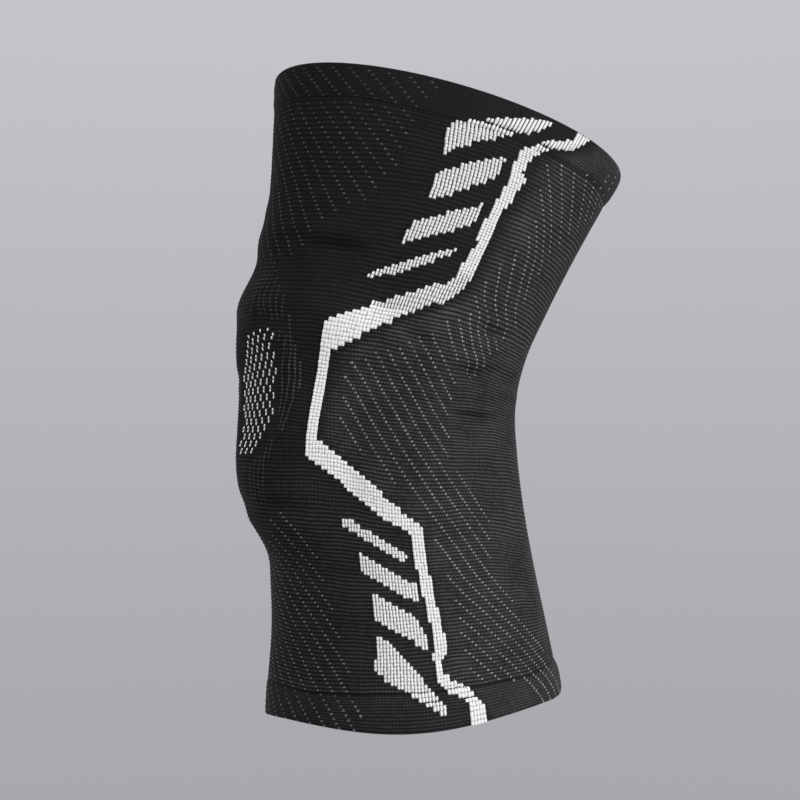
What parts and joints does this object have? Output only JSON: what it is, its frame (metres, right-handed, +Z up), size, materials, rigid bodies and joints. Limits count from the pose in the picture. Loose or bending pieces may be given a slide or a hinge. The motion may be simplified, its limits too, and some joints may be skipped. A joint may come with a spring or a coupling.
{
  "type": "knee compression sleeve",
  "caption": "Knitted tube sleeve for a slightly bent knee, open at thigh and calf, with turned hems, a domed kneecap with a raised ring, and white zigzag and bar stripes on each side.",
  "frame": {"origin": "middle of the knee, on the leg's axis inside the sleeve", "axes": "+Z up the leg, -Y to the front of the knee, +X to the wearer's left"},
  "size_m": [0.1362, 0.1786, 0.2728],
  "materials": {
    "black_knit": "matt ribbed knit of black elastic yarn",
    "black_welt": "matt double knit, turned over",
    "white_yarn": "matt white yarn, one stitch standing beside the next"
  },
  "bodies": {
    "root": {"knit_tube": "black_knit", "top_welt": "black_welt", "bottom_welt": "black_welt", "zigzag_stripe_left": "white_yarn", "upper_bar_1_left": "white_yarn", "upper_bar_2_left": "white_yarn", "upper_bar_3_left": "white_yarn", "upper_bar_4_left": "white_yarn", "lower_bar_1_left": "white_yarn", "lower_bar_2_left": "white_yarn", "lower_bar_3_left": "white_yarn", "lower_bar_4_left": "white_yarn", "zigzag_stripe_right": "white_yarn", "upper_bar_1_right": "white_yarn", "upper_bar_2_right": "white_yarn", "upper_bar_3_right": "white_yarn", "upper_bar_4_right": "white_yarn", "lower_bar_1_right": "white_yarn", "lower_bar_2_right": "white_yarn", "lower_bar_3_right": "white_yarn", "lower_bar_4_right": "white_yarn"}
  },
  "joints": []
}
